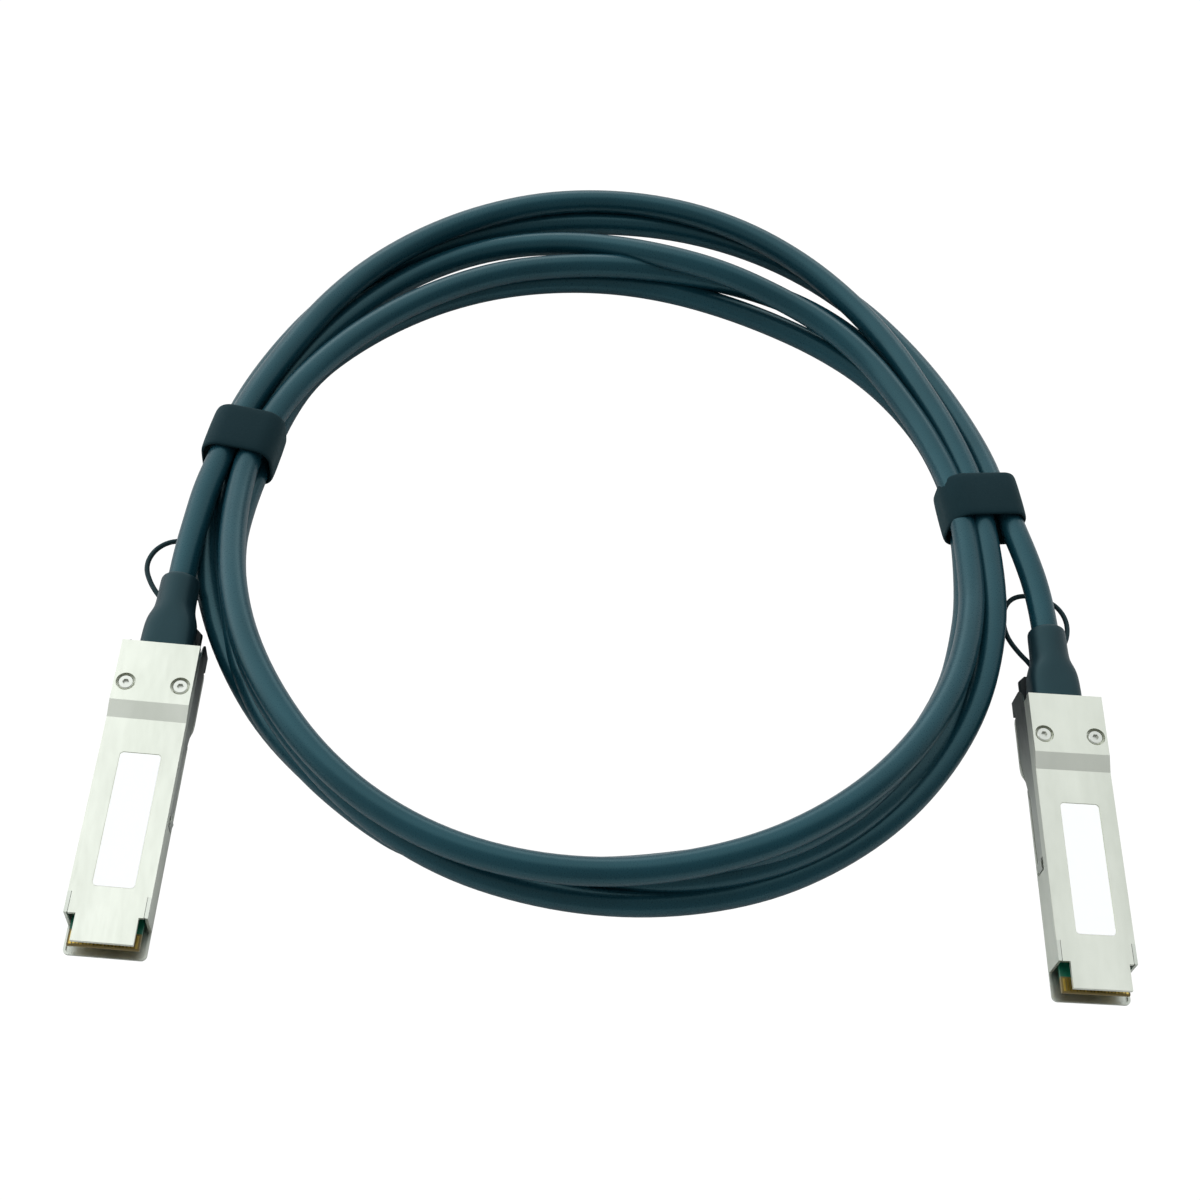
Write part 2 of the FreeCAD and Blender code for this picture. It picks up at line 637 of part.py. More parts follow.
def cableTail(x, yaw, end):
    points = [placed((0, ferruleFront + 0.5, cableHeight), x, yaw), placed((0, tailBend, cableHeight), x, yaw),
              Vector(*end)]
    route = cordRoute(points)
    section = Part.Wire([Part.makeCircle(cableDiameter / 2, points[0], points[1] - points[0])])
    tube = route.makePipeShell([section], True, False)
    print("  route %.1f mm, volume %.1f, section x length %.1f"
          % (route.Length, tube.Volume, math.pi * cableDiameter ** 2 / 4 * route.Length))
    return tube


def polarFace(outline):
    points = [coilCentre + Vector(r * math.cos(math.radians(a)), r * math.sin(math.radians(a)), 0)
              for a, r in outline]
    curve = Part.BSplineCurve()
    curve.interpolate(points, PeriodicFlag=True)
    corners = curve.toShape().discretize(coilSides + 1)
    return Part.Face(Part.makePolygon(corners[:-1] + corners[:1]))


bundleHeight = cableDiameter * (1 + (strandRows - 1) * math.sqrt(3) / 2) + 0.6


def cableCoil():
    ring = polarFace(coilOuter).cut(polarFace(coilInner))
    coil = ring.extrude(Vector(0, 0, coilNearHeight))
    tied = bundleHeight + tieThickness
    near, far = coilCentre.y - coilReach, coilCentre.y + coilReach
    top = [(near, 0), (near, coilNearHeight), (coilCentre.y - nearPile, coilNearHeight),
           (coilCentre.y - tiedFront, tied), (coilCentre.y + tiedRear, tied),
           (coilCentre.y + farFan, coilFarHeight), (far, coilFarHeight), (far, 0)]
    coil = coil.common(extrude([(-coilReach, y, z) for y, z in top], (2 * coilReach, 0, 0)))
    # the left module's latch, boot and loop move freely beside and under the coil
    wide = halfWidth + coilClearance
    slim = bootBaseWidth / 2 + coilClearance
    over = coilNearHeight + bulgeDrop
    latchWay = box(-wide, wide, 0, sliderRear + sliderTravel + coilClearance, -over, over)
    bootWay = box(-slim, slim, 0, shellLength + bootLength + coilClearance, -over, over)
    loopWay = box(-loopRadius - loopMargin, loopRadius + loopMargin, anchorFront,
                  loopCentre + loopRadius + sliderTravel + loopMargin, -over, over)
    for way in (latchWay, bootWay):
        coil = coil.cut(place(way, leftPlace, leftYaw))
    low = box(-coilReach, 0, near, coilCentre.y, -1, loopPassage)
    coil = coil.cut(place(loopWay, leftPlace, leftYaw).common(low))
    for angle in (leftTieAngle, rightTieAngle):
        coil = coil.cut(tieBlock(angle, tieThickness).cut(tieBlock(angle, 0)))
    return coil.removeSplitter()


def outlineRadius(outline, angle):
    edge = polarFace(outline).OuterWire
    a = math.radians(angle)
    ray = Part.makeLine(coilCentre, coilCentre + Vector(math.cos(a), math.sin(a), 0) * coilReach)
    return edge.distToShape(ray)[1][0][0].distanceToPoint(coilCentre)


# the space inside a tie, or its outside when it is grown by the tie's thickness
def tieBlock(angle, grow):
    inner = outlineRadius(coilInner, angle) - 0.2 - grow
    outer = outlineRadius(coilOuter, angle) + 0.2 + grow
    reach = 0 if grow else 1
    block = box(inner, outer, -tieLength / 2 - reach, tieLength / 2 + reach, tieThickness - grow,
                bundleHeight + tieThickness + grow)
    block = block.makeFillet(tieCorner + grow, [e for e in block.Edges if e.BoundBox.YLength > tieLength - 0.1])
    block.rotate(Vector(0, 0, 0), Vector(0, 0, 1), angle)
    block.translate(coilCentre)
    return block


def cableTie(angle):
    return tieBlock(angle, tieThickness).cut(tieBlock(angle, 0))


def place(shape, x, yaw):
    shape = shape.copy()
    shape.rotate(Vector(0, 0, 0), Vector(1, 0, 0), moduleTilt)
    shape.rotate(Vector(0, 0, 0), Vector(0, 0, 1), yaw)
    shape.translate(Vector(x, lipPlace, 0))
    return shape


modulePieces = {
    "lower_shell": lowerShell,
    "upper_cover": upperCover,
    "cover_screws": coverScrews,
    "paddle_card": paddleCard,
    "contact_pads": contactPads,
    "memory_chip": memoryChip,
    "capacitors": capacitors,
    "wire_pairs": wirePairs,
    "crimp_ferrule": crimpFerrule,
    "strain_boot": strainBoot,
    "latch_slider": latchSlider,
    "return_springs": returnSprings,
    "loop_anchor": loopAnchor,
    "pull_loop": pullLoop,
}


def build():
    os.makedirs("parts", exist_ok=True)
    nodes = {}
    for piece, make in modulePieces.items():
        shape = make()
        nodes["left_" + piece] = place(shape, leftPlace, leftYaw)
        nodes["right_" + piece] = place(shape, rightPlace, rightYaw)
    nodes["left_cable_tail"] = cableTail(leftPlace, leftYaw, leftTailEnd)
    nodes["right_cable_tail"] = cableTail(rightPlace, rightYaw, rightTailEnd)
    nodes["cable_coil"] = cableCoil()
    nodes["left_tie"] = cableTie(leftTieAngle)
    nodes["right_tie"] = cableTie(rightTieAngle)
    for name, shape in nodes.items():
        shape.exportStep("parts/%s.step" % name)
        print(name, "solids", len(shape.Solids), "valid", shape.isValid(), "volume %.1f" % shape.Volume)


build()
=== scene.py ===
import bpy
import bmesh
import math
from mathutils import Matrix, Vector


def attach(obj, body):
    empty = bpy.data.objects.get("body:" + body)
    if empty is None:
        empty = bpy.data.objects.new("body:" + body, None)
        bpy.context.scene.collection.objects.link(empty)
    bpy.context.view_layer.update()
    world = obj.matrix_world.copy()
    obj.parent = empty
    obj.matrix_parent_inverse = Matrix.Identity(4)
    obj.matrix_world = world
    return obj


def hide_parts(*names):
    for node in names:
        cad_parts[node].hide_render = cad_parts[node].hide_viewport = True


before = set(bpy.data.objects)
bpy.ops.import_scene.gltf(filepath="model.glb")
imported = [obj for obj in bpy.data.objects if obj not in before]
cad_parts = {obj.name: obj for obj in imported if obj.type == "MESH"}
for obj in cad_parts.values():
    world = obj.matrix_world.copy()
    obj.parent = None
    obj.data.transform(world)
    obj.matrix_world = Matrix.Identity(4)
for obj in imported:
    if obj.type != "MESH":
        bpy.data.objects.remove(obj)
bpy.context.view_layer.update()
mm = 0.001

view = {
    "azimuth": -6.79,                # degrees
    "elevation": 53.51,
    "roll": 8.93,
    "target": (-2.60, 50.10, 0),     # millimetres
    "distance": 486.27,
    "lens": 56.76,
    "sensor": 36.0,
}


def aimCamera():
    azimuth, elevation, roll = (math.radians(view[key]) for key in ("azimuth", "elevation", "roll"))
    target = Vector(view["target"]) * mm
    back = Vector((math.sin(azimuth) * math.cos(elevation), -math.cos(azimuth) * math.cos(elevation),
                   math.sin(elevation)))
    level = (-back).cross(Vector((0, 0, 1))).normalized()
    above = level.cross(-back)
    right = level * math.cos(roll) + above * math.sin(roll)
    up = above * math.cos(roll) - level * math.sin(roll)
    data = bpy.data.cameras.new("camera")
    data.sensor_width = view["sensor"]
    data.lens = view["lens"]
    data.clip_start = 0.01
    camera = bpy.data.objects.new("camera", data)
    place = Matrix((right, up, back)).transposed().to_4x4()
    place.translation = target + back * view["distance"] * mm
    camera.matrix_world = place
    bpy.context.collection.objects.link(camera)
    bpy.context.scene.camera = camera


aimCamera()
print("camera placed")


# a new material with values set on its own shader
def material(name, **sockets):
    made = bpy.data.materials.new(name)
    made.use_nodes = True
    shader = made.node_tree.nodes["Principled BSDF"]
    for key, value in sockets.items():
        shader.inputs[key.replace("_", " ")].default_value = value
    return made, made.node_tree, shader


def colour(hexcode):
    channels = [int(hexcode[i:i + 2], 16) / 255 for i in (0, 2, 4)]
    return tuple(c / 12.92 if c < 0.04045 else ((c + 0.055) / 1.055) ** 2.4 for c in channels) + (1,)


def grey(value):
    return (value, value, value, 1)


# an empty node group with the noise that both shared effects start from
def noiseGroup(name, inputs, outputs):
    group = bpy.data.node_groups.new(name, "ShaderNodeTree")
    shared = {"Scale": "NodeSocketFloat", "Detail": "NodeSocketFloat", "Stretch": "NodeSocketVector"}
    for socket, kind in {**shared, **inputs}.items():
        group.interface.new_socket(socket, in_out="INPUT", socket_type=kind)
    for socket, kind in outputs.items():
        group.interface.new_socket(socket, in_out="OUTPUT", socket_type=kind)
    given = group.nodes.new("NodeGroupInput")
    result = group.nodes.new("NodeGroupOutput")
    coordinates = group.nodes.new("ShaderNodeTexCoord")
    mapping = group.nodes.new("ShaderNodeMapping")
    noise = group.nodes.new("ShaderNodeTexNoise")
    noise.inputs["Roughness"].default_value = 0.6
    span = group.nodes.new("ShaderNodeMapRange")
    group.links.new(coordinates.outputs["Object"], mapping.inputs["Vector"])
    group.links.new(given.outputs["Stretch"], mapping.inputs["Scale"])
    group.links.new(mapping.outputs["Vector"], noise.inputs["Vector"])
    group.links.new(given.outputs["Scale"], noise.inputs["Scale"])
    group.links.new(given.outputs["Detail"], noise.inputs["Detail"])
    group.links.new(noise.outputs["Fac"], span.inputs["Value"])
    return group, given, result, noise, span


# broad patches between two near colours
def makeCloud():
    group, given, result, noise, span = noiseGroup(
        "cloud", {"Low": "NodeSocketColor", "High": "NodeSocketColor"}, {"Colour": "NodeSocketColor"})
    span.inputs["From Min"].default_value = 0.3
    span.inputs["From Max"].default_value = 0.7
    mix = group.nodes.new("ShaderNodeMix")
    mix.data_type = "RGBA"
    group.links.new(span.outputs["Result"], mix.inputs["Factor"])
    group.links.new(given.outputs["Low"], mix.inputs[6])
    group.links.new(given.outputs["High"], mix.inputs[7])
    group.links.new(mix.outputs[2], result.inputs["Colour"])
    return group


# fine grain that varies the roughness and lifts the surface
def makeGrain():
    ends = ("From", "To", "Smooth", "Rough")
    group, given, result, noise, span = noiseGroup(
        "grain", {end: "NodeSocketFloat" for end in ends},
        {"Roughness": "NodeSocketFloat", "Height": "NodeSocketFloat"})
    for end, socket in zip(ends, ("From Min", "From Max", "To Min", "To Max")):
        group.links.new(given.outputs[end], span.inputs[socket])
    group.links.new(span.outputs["Result"], result.inputs["Roughness"])
    group.links.new(noise.outputs["Fac"], result.inputs["Height"])
    return group


cloud = makeCloud()
grain = makeGrain()


def useGroup(tree, group, **values):
    node = tree.nodes.new("ShaderNodeGroup")
    node.node_tree = group
    for key, value in values.items():
        node.inputs[key].default_value = value
    return node


# the two shared effects on one shader
def texture(tree, shader, patches, fine, depth, distance):
    colours = useGroup(tree, cloud, **patches)
    tree.links.new(colours.outputs["Colour"], shader.inputs["Base Color"])
    surface = useGroup(tree, grain, **fine)
    tree.links.new(surface.outputs["Roughness"], shader.inputs["Roughness"])
    bump = tree.nodes.new("ShaderNodeBump")
    bump.inputs["Strength"].default_value = depth
    bump.inputs["Distance"].default_value = distance
    tree.links.new(surface.outputs["Height"], bump.inputs["Height"])
    tree.links.new(bump.outputs["Normal"], shader.inputs["Normal"])


def rubber(name, low, high, roughness, scale, depth, gloss, sheen=0.0):
    made, tree, shader = material(name, Metallic=0.0, IOR=1.46,
                                  Specular_IOR_Level=gloss, Specular_Tint=colour("a6dfe6"),
                                  Sheen_Weight=sheen, Sheen_Roughness=0.5, Sheen_Tint=colour("9fc9cb"))
    patches = {"Scale": 35, "Detail": 3, "Stretch": (1, 1, 1), "Low": colour(low), "High": colour(high)}
    fine = {"Scale": scale, "Detail": 5, "Stretch": (1, 1, 1), "From": 0.3, "To": 0.75,
            "Smooth": roughness - 0.06, "Rough": roughness + 0.08}
    texture(tree, shader, patches, fine, depth, 0.0001)
    return made


# darker and lighter colour, roughness, grain, its depth, gloss
jacket = rubber("cable_jacket", "0e333e", "143e4a", 0.3, 2600, 0.15, 0.85)
strap = rubber("tie_strap", "10252b", "162c33", 0.65, 1500, 0.4, 0.15, sheen=0.12)
bootRubber = rubber("boot_rubber", "15282f", "1b3139", 0.42, 2200, 0.2, 0.6)
loopNylon = rubber("loop_nylon", "18262a", "243439", 0.5, 3000, 0.3, 0.35)


# the cable: one route from the left module, four and a half turns, to the right module
coil = {
    "centre": Vector((-0.36, 71.88, 0)),     # millimetres
    "diameter": 6.7,
    "length": 3.03,                          # metres
    "insideBoot": 8.9,                       # of the left lead
}
# each strand is half a turn of (angle from +x, radius, height) about the coil's centre
strands = [
    [
        (176, 102.6, 10.1), (168, 101.2, 9.9), (160, 100.6, 9.8), (150, 101, 9.8), (140, 103.7, 9.8),
        (130, 106.9, 9.8), (120, 110.2, 9.8), (110, 113.6, 9.7), (100, 116.8, 9.3), (90, 118.6, 8.8),
        (80, 117.6, 9.5), (70, 114.9, 10), (60, 110.9, 10.1), (50, 106.4, 10), (40, 102.4, 9.9),
        (30, 99.1, 9.8), (20, 98, 9.8), (7, 98, 9.8),
    ],
    [
        (350, 99.9, 9.6), (340, 102.5, 8.4), (330, 104.85, 6.8), (320, 106.4, 5.2), (310, 107.9, 4),
        (300, 108.8, 3.4), (290, 109.8, 3.5), (280, 110.1, 4.2), (270, 110.6, 5.6), (260, 111.1, 7.6),
        (250, 111.5, 10), (240, 110.1, 12.2), (230, 107.3, 12.6), (220, 104.6, 12.2),
        (210, 101.8, 10.8), (200, 99.2, 8.8), (190, 97.3, 6.6), (181, 95, 4.6), (172, 93.4, 3.5),
    ],
    [
        (160, 93.8, 3.35), (150, 94.4, 3.35), (140, 93, 3.35), (130, 92, 3.35), (120, 91.4, 3.35),
        (110, 90.9, 3.35), (100, 90.4, 3.35), (90, 90.1, 3.35), (80, 89.8, 3.35), (70, 89.7, 3.35),
        (60, 90.4, 3.35), (50, 92.2, 3.35), (40, 94.2, 3.35), (30, 95.2, 3.35), (20, 95.5, 3.35),
        (7, 94.9, 3.35),
    ],
    [
        (350, 94.6, 3.35), (340, 95.6, 4), (330, 97.4, 6.4), (316, 99.9, 9.8), (305, 102.8, 11.4),
        (300, 103.9, 11.8), (293, 105.2, 11.9), (285, 104.3, 11.4), (270, 104.8, 9.6),
        (260, 105.8, 8.2), (252, 107.7, 7.6), (245, 109.4, 7.4), (240, 108.8, 7.5), (235, 108.1, 7.7),
        (230, 107.4, 7.8), (222, 106.5, 7.6), (216, 105, 6.8), (208, 102.6, 5.4), (200, 100.4, 4.2),
        (190, 99.2, 3.4), (181, 99, 3.35), (172, 98.8, 3.35),
    ],
    [
        (160, 99, 3.35), (150, 99.6, 3.35), (140, 100.8, 3.35), (130, 102.7, 3.35), (120, 104.5, 3.7),
        (110, 104.4, 5.3), (100, 101.4, 8), (90, 96.4, 11.4), (80, 91.6, 14.8), (70, 90.8, 15),
        (60, 92.2, 12.6), (50, 93.6, 11), (40, 93.4, 10), (30, 91.9, 9.8), (20, 91.7, 9.8),
        (7, 92.8, 9.7),
    ],
    [
        (350, 94.1, 10), (340, 95.9, 11.8), (330, 97.9, 13.4), (320, 99.8, 15), (310, 102, 16.4),
        (300, 104, 17), (290, 105.9, 17.1), (280, 107.4, 17.1), (270, 109.1, 17.1), (260, 110.2, 17.1),
        (250, 110.6, 17.1), (240, 109.6, 17.1), (230, 107.4, 17.1), (220, 104.6, 17), (210, 102, 16.4),
        (200, 99.2, 14.8), (190, 96.9, 12.6), (180, 95.6, 10.6), (172, 95, 9.8),
    ],
    [
        (160, 92.6, 9.9), (150, 91, 9.9), (140, 90, 9.9), (130, 89.6, 9.9), (120, 89.6, 9.9),
        (110, 90, 9.9), (100, 89.8, 9.9), (90, 90.3, 9.9), (80, 91.8, 9.2), (72, 94.4, 7.8),
        (64, 98.2, 5.9), (56, 101.2, 4.2), (48, 102, 3.4), (40, 100.8, 3.35), (30, 100.4, 3.35),
        (20, 100.5, 3.35), (7, 100.5, 3.35),
    ],
    [
        (350, 101, 3.4), (340, 100.4, 3.7), (330, 100, 5.3), (320, 102.1, 6.9), (310, 104.1, 7.8),
        (300, 106, 8), (290, 106.8, 8), (280, 106.4, 7.8), (272, 105.6, 7), (264, 104.4, 5.8),
        (257, 104.8, 4.3), (250, 106.4, 3.5), (240, 106.6, 3.35), (230, 105.6, 3.35),
        (220, 105.5, 3.35), (210, 104.8, 3.35), (200, 104.4, 3.35), (190, 104.4, 3.35),
        (181, 104.6, 3.35), (172, 104.5, 3.35),
    ],
    [
        (160, 104.4, 3.35), (150, 105.4, 3.35), (140, 107.6, 3.35), (130, 109.8, 3.35),
        (120, 111.7, 3.35), (110, 113.2, 3.35), (100, 114.2, 3.35), (90, 115.1, 3.35),
        (80, 116.1, 3.35), (70, 116, 3.35), (60, 114.8, 3.35), (50, 112.6, 3.35), (42, 110.3, 3.5),
        (34, 108.3, 4), (25, 106.4, 5), (16, 105.4, 6.6), (9, 104.8, 7.8),
    ],
]
leftLead = [(-108.57, 10.9, 6.19), (-107.95, 26.5, 7.15), (-107.33, 41.8, 8.1), (-106.75, 51.5, 8.9),
            (-105.7, 61, 9.6), (-104.7, 70, 10)]
rightLead = [(105.1, 81.5, 9), (106.2, 74, 9.7), (108, 66, 9.8), (109.8, 57, 9.3), (110.8, 47.5, 8.5),
             (110.98, 37, 7.75), (110.95, 24, 6.97), (110.9, 10.9, 6.19)]


# a control point stands a little outside the arc that the spline makes of it
def strandPoint(before, here, after):
    angle, radius, height = here
    gain = 8 / (6 + math.cos(math.radians(before[0] - angle)) + math.cos(math.radians(after[0] - angle)))
    a = math.radians(angle)
    return coil["centre"] + Vector((gain * radius * math.cos(a), gain * radius * math.sin(a), height))


def cableRoute():
    stations = [station for strand in strands for station in strand]
    points = [Vector(p) for p in leftLead]
    for before, here, after in zip(stations[:1] + stations, stations, stations[1:] + stations[-1:]):
        points.append(strandPoint(before, here, after))
    return points + [Vector(p) for p in rightLead]


def tube(name, points, diameter, finish, around=8, along=6):
    data = bpy.data.curves.new(name, "CURVE")
    data.dimensions = "3D"
    spline = data.splines.new("NURBS")
    spline.points.add(len(points) - 1)
    for target, point in zip(spline.points, points):
        target.co = (*(point * mm), 1)
    spline.order_u = 3
    spline.use_endpoint_u = True
    data.resolution_u = along
    data.bevel_depth = diameter / 2 * mm
    data.bevel_resolution = around
    data.use_fill_caps = True
    data.materials.append(finish)
    piece = bpy.data.objects.new(name, data)
    bpy.context.collection.objects.link(piece)
    return piece


cable = tube("coiled_cable", cableRoute(), coil["diameter"], jacket)
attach(cable, "cable_assembly")
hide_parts("cable_coil", "left_cable_tail", "right_cable_tail")
print("cable laid")


# the two modules' own frames: x across, y from the front lip to the rear, z up
sides = ("left", "right")
module = {
    "tilt": 3.50644,             # its front dips onto the lip
    "lip": -55.92,
    "left": (-111.26, -2.3),     # place and turn
    "right": (110.54, -0.3),
}


def moduleMatrix(side):
    x, yaw = module[side]
    turn = Matrix.Rotation(math.radians(yaw), 4, "Z")
    lean = Matrix.Rotation(math.radians(module["tilt"]), 4, "X")
    return Matrix.Translation(Vector((x, module["lip"], 0)) * mm) @ turn @ lean


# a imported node's points in its module's frame
def modulePoints(side, node):
    back = moduleMatrix(side).inverted()
    return [back @ v.co / mm for v in bpy.data.objects[side + "_" + node].data.vertices]


def addMesh(name, vertices, faces, finish, smooth=True):
    data = bpy.data.meshes.new(name)
    data.from_pydata([tuple(v) for v in vertices], [], faces)
    data.update()
    work = bmesh.new()
    work.from_mesh(data)
    bmesh.ops.recalc_face_normals(work, faces=work.faces)
    work.to_mesh(data)
    work.free()
    for face in data.polygons:
        face.use_smooth = smooth
    data.materials.append(finish)
    piece = bpy.data.objects.new(name, data)
    bpy.context.collection.objects.link(piece)
    return piece


# faces between rings of equal length
def ringFaces(rings, count, closed=False):
    faces = []
    last = rings if closed else rings - 1
    for j in range(last):
        a, b = j * count, (j + 1) % rings * count
        for i in range(count):
            k = (i + 1) % count
            faces.append((a + i, a + k, b + k, b + i))
    return faces


# moulded boots
boot = {
    "base": 76.02,
    "axis": 2.1,
    "around": 64,
    # distance from the module, width, height, squareness (1 is round)
    "profile": [(0, 12.7, 9.6, 0.55), (0.8, 12.75, 9.65, 0.55), (3, 12.75, 9.7, 0.57), (6, 12.7, 9.75, 0.6),
                (8.5, 12.5, 9.75, 0.66), (10.4, 12.0, 9.8, 0.76), (11.9, 11.0, 9.8, 0.88),
                (13.2, 10.2, 9.75, 0.96), (14.6, 9.8, 9.65, 1), (17, 9.65, 9.6, 1), (20, 9.6, 9.6, 1),
                (21.7, 9.55, 9.55, 1), (22.25, 9.3, 9.3, 1), (22.45, 8.7, 8.7, 1), (22.3, 7.6, 7.6, 1),
                (21.9, 6.8, 6.8, 1)],
}


def bootPiece(side):
    around = boot["around"]
    place = moduleMatrix(side)
    vertices = []
    for along, width, height, squareness in boot["profile"]:
        for i in range(around):
            a = 2 * math.pi * i / around
            c, s = math.cos(a), math.sin(a)
            x = width / 2 * math.copysign(abs(c) ** squareness, c)
            z = height / 2 * math.copysign(abs(s) ** squareness, s)
            vertices.append(place @ (Vector((x, boot["base"] + along, boot["axis"] + z)) * mm))
    faces = ringFaces(len(boot["profile"]), around)
    faces.append(tuple(range(around)))
    faces.append(tuple(range(len(vertices) - around, len(vertices))))
    piece = addMesh(side + "_boot", vertices, faces, bootRubber)
    smooth = piece.modifiers.new("round", "SUBSURF")
    smooth.levels = smooth.render_levels = 1
    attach(piece, "cable_assembly")
    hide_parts(side + "_strain_boot")


for side in sides:
    bootPiece(side)


# pull loops: a stiff cord from the moulded anchor, round and back
pull = {
    "diameter": 1.3,
    "height": -3.725,
    # points in the module's frame, their height from the anchor's middle
    "left": [(1.6, 84.8, 0), (1.7, 88.5, -0.1), (1.6, 92.5, -0.3), (2.6, 97.2, -0.7), (5.2, 101.6, -1.1),
             (7.1, 106.8, -1.5), (5.6, 112.0, -1.8), (0.6, 115.4, -2.0), (-5.6, 115.6, -2.1),
             (-9.8, 112.2, -2.0), (-11.1, 106.6, -1.7), (-8.6, 101.0, -1.3), (-5.0, 96.6, -0.9),
             (-2.3, 92.6, -0.5), (-1.6, 88.6, -0.2), (-1.6, 84.8, 0)],
    "right": [(1.6, 84.8, 0), (1.7, 88.6, -0.1), (2.6, 92.6, -0.4), (5.4, 97.2, -0.8), (8.2, 101.8, -1.3),
              (8.8, 107.4, -1.7), (6.8, 112.0, -2.0), (2.4, 114.6, -2.1), (-3.4, 114.7, -2.1),
              (-7.0, 111.8, -2.0), (-8.4, 106.6, -1.7), (-8.1, 101.2, -1.3), (-5.6, 96.2, -0.8),
              (-2.6, 92.3, -0.4), (-1.7, 88.5, -0.1), (-1.6, 84.8, 0)],
}


def pullPiece(side):
    place = moduleMatrix(side)
    points = [place @ Vector((x * mm, y * mm, (pull["height"] + z) * mm)) / mm for x, y, z in pull[side]]
    piece = tube(side + "_pull_cord", points, pull["diameter"], loopNylon, 5, 8)
    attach(piece, side + "_latch")
    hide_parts(side + "_pull_loop")


for side in sides:
    pullPiece(side)


# straps round the bundle
tie = {
    # middle's angle, least and greatest distance from the coil's centre, height, and the section's
    # corner radii: top outer, top inner, bottom inner, bottom outer
    "left": {"angle": 170.4, "inner": 88.7, "outer": 107.8, "top": 14.6, "corners": (5.2, 5.0, 4.6, 3.4)},
    "right": {"angle": 6.1, "inner": 88.7, "outer": 110.0, "top": 14.6, "corners": (4.2, 6.4, 4.4, 3.6)},
    "thickness": 1.0,
    "width": 14.0,
    "low": 0.25,
    "cornerSteps": 8,
}


def tiePiece(side):
    its = tie[side]
    angle = math.radians(its["angle"])
    outward = Vector((math.cos(angle), math.sin(angle), 0))
    across = Vector((-math.sin(angle), math.cos(angle), 0))
    half, thickness = tie["width"] / 2, tie["thickness"]
    path = []
    for number, radius in enumerate(its["corners"]):
        cx = its["outer"] - radius if number in (0, 3) else its["inner"] + radius
        cz = its["top"] - radius if number < 2 else tie["low"] + radius
        for step in range(tie["cornerSteps"] + 1):
            a = math.radians(number * 90 + step * 90 / tie["cornerSteps"])
            path.append((cx + radius * math.cos(a), cz + radius * math.sin(a), math.cos(a), math.sin(a)))
    # section of the webbing: rounded edges, a little crowned
    section = [(-half, -0.35), (-half + 0.25, -0.03), (-half / 2, 0.05), (0, 0.07), (half / 2, 0.05),
               (half - 0.25, -0.03), (half, -0.35), (half, -thickness + 0.3), (half - 0.25, -thickness),
               (0, -thickness), (-half + 0.25, -thickness), (-half, -thickness + 0.3)]
    vertices = []
    for r, z, nx, nz in path:
        for v, n in section:
            point = coil["centre"] + outward * (r + nx * n) + across * v + Vector((0, 0, z + nz * n))
            vertices.append(point * mm)
    piece = addMesh(side + "_strap", vertices, ringFaces(len(path), len(section), True), strap)
    smooth = piece.modifiers.new("round", "SUBSURF")
    smooth.levels = smooth.render_levels = 1
    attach(piece, "cable_assembly")
    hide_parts(side + "_tie")
    return piece


ties = [tiePiece(side) for side in sides]
print("boots, loops and straps made")


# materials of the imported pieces
def metal(name, low, high, roughness, brushed=(1, 1, 1)):
    made, tree, shader = material(name, Metallic=1.0, Anisotropic=0.3)
    patches = {"Scale": 60, "Detail": 4, "Stretch": (1, 0.35, 1), "Low": colour(low), "High": colour(high)}
    fine = {"Scale": 900, "Detail": 6, "Stretch": brushed, "From": 0.25, "To": 0.8,
            "Smooth": roughness - 0.05, "Rough": roughness + 0.1}
    texture(tree, shader, patches, fine, 0.12, 0.00005)
    return made


def plain(name, low, high, roughness, scale, depth):
    made, tree, shader = material(name, Metallic=0.0)
    patches = {"Scale": scale, "Detail": 4, "Stretch": (1, 1, 1), "Low": colour(low), "High": colour(high)}
    fine = {"Scale": scale, "Detail": 4, "Stretch": (1, 1, 1), "From": 0.3, "To": 0.7,
            "Smooth": roughness - 0.05, "Rough": roughness + 0.05}
    texture(tree, shader, patches, fine, depth, 0.00005)
    return made


# 0 ahead of the first and 1 behind the second of two places along a module
def alongModule(tree, side, first, second):
    place = moduleMatrix(side)
    axis = place.col[1].xyz
    coordinates = tree.nodes.new("ShaderNodeTexCoord")
    along = tree.nodes.new("ShaderNodeVectorMath")
    along.operation = "DOT_PRODUCT"
    along.inputs[1].default_value = axis
    span = tree.nodes.new("ShaderNodeMapRange")
    start = axis.dot(place.translation)
    span.inputs["From Min"].default_value = start + first * mm
    span.inputs["From Max"].default_value = start + second * mm
    tree.links.new(coordinates.outputs["Object"], along.inputs[0])
    tree.links.new(along.outputs["Value"], span.inputs["Value"])
    return span.outputs["Result"]


# lays a second colour over a finish where the mask is 1
def overlay(finish, mask, tone):
    tree = finish.node_tree
    shader = tree.nodes["Principled BSDF"]
    under = shader.inputs["Base Color"].links[0].from_socket
    mix = tree.nodes.new("ShaderNodeMix")
    mix.data_type = "RGBA"
    tree.links.new(mask, mix.inputs["Factor"])
    tree.links.new(under, mix.inputs[6])
    mix.inputs[7].default_value = colour(tone)
    tree.links.new(mix.outputs[2], shader.inputs["Base Color"])


# edge: the brown painted shade laid round the contacts
card = {"low": "0a5c44", "high": "10735a", "edge": "7d6a35", "edgeEnd": 0.25, "edgeFade": 0.1}


# green laminate, painted brown from just behind the contacts forward: painted shade standing in for the
# gold in shadow under the cover's nose
def cardFinish(side):
    made = plain(side + "_card_laminate", card["low"], card["high"], 0.35, 900, 0.1)
    rear = max(p.y for p in modulePoints(side, "contact_pads")) + card["edgeEnd"]
    overlay(made, alongModule(made.node_tree, side, rear + card["edgeFade"], rear), card["edge"])
    return made


